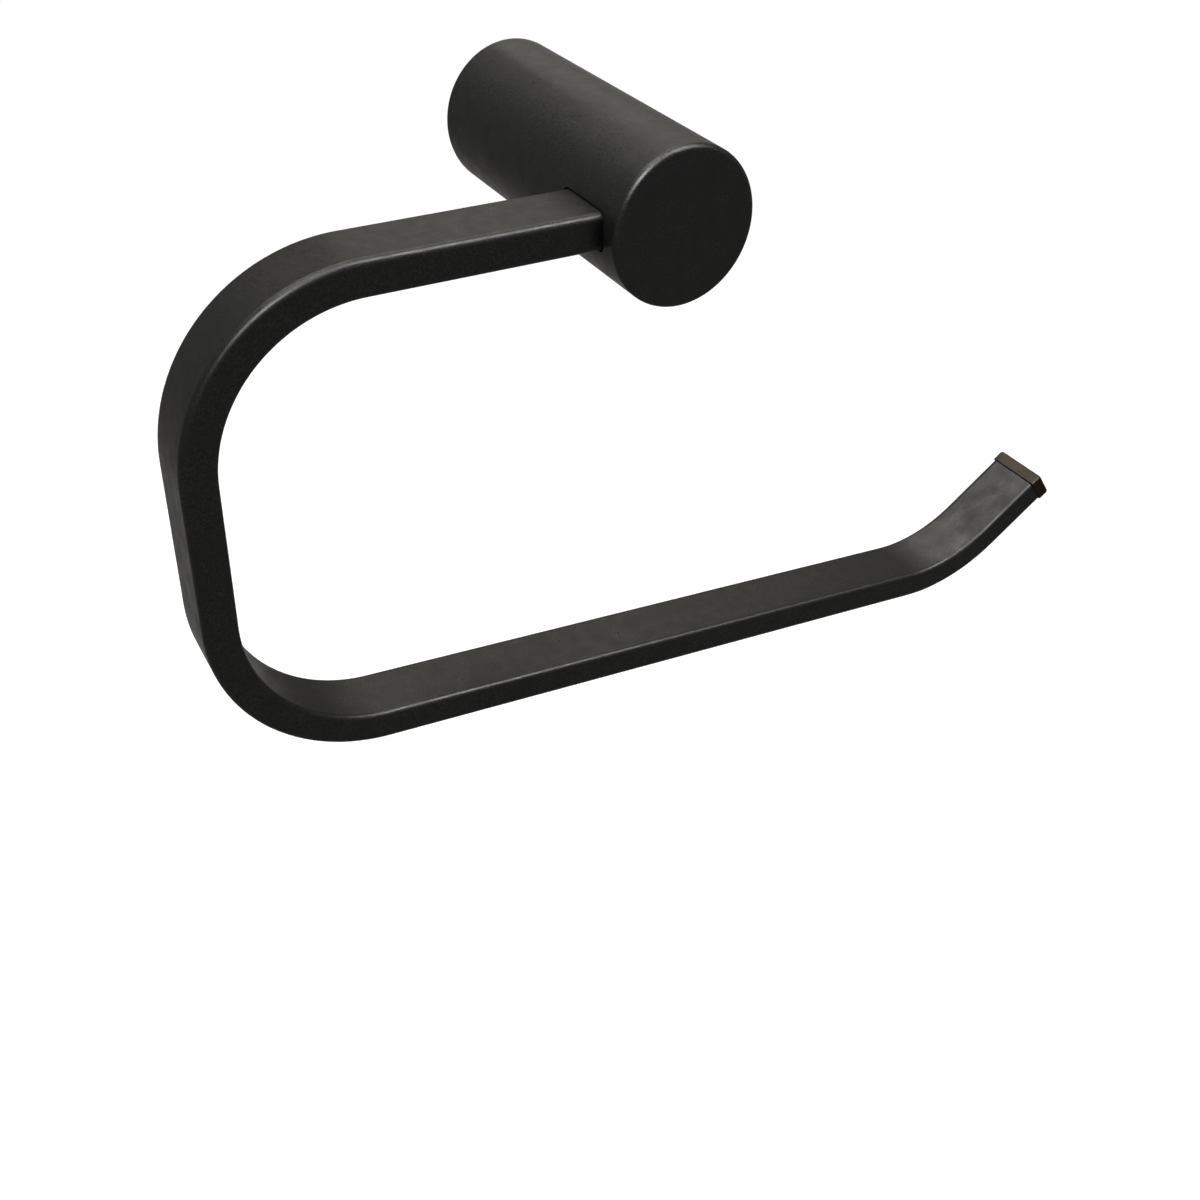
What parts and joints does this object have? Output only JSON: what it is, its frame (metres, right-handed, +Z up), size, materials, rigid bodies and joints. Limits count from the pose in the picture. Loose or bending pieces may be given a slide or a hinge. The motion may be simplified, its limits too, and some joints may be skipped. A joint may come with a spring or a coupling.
{
  "type": "towel ring",
  "caption": "Open towel ring: a round post from the wall carries a bent rectangular tube with an upturned, capped tip.",
  "frame": {"origin": "centre of the post's wall end, on the wall's face", "axes": "+Z up, +X to the right along the wall, +Y into the wall; the post stands out along -Y"},
  "size_m": [0.2355, 0.0768, 0.1369],
  "materials": {
    "post_coat": "satin black powder coat",
    "ring_coat": "satin black powder coat",
    "cap_plastic": "fine matt black moulding",
    "plated_steel": "dull zinc plate",
    "black_steel": "black oxide",
    "bare_steel": "bright zinc plate"
  },
  "bodies": {
    "root": {"post": "post_coat", "ring_tube": "ring_coat", "end_cap": "cap_plastic", "wall_bracket": "plated_steel", "grub_screw": "black_steel", "arm_insert": "bare_steel", "arm_screw": "bare_steel", "arm_washer": "bare_steel"}
  },
  "joints": []
}
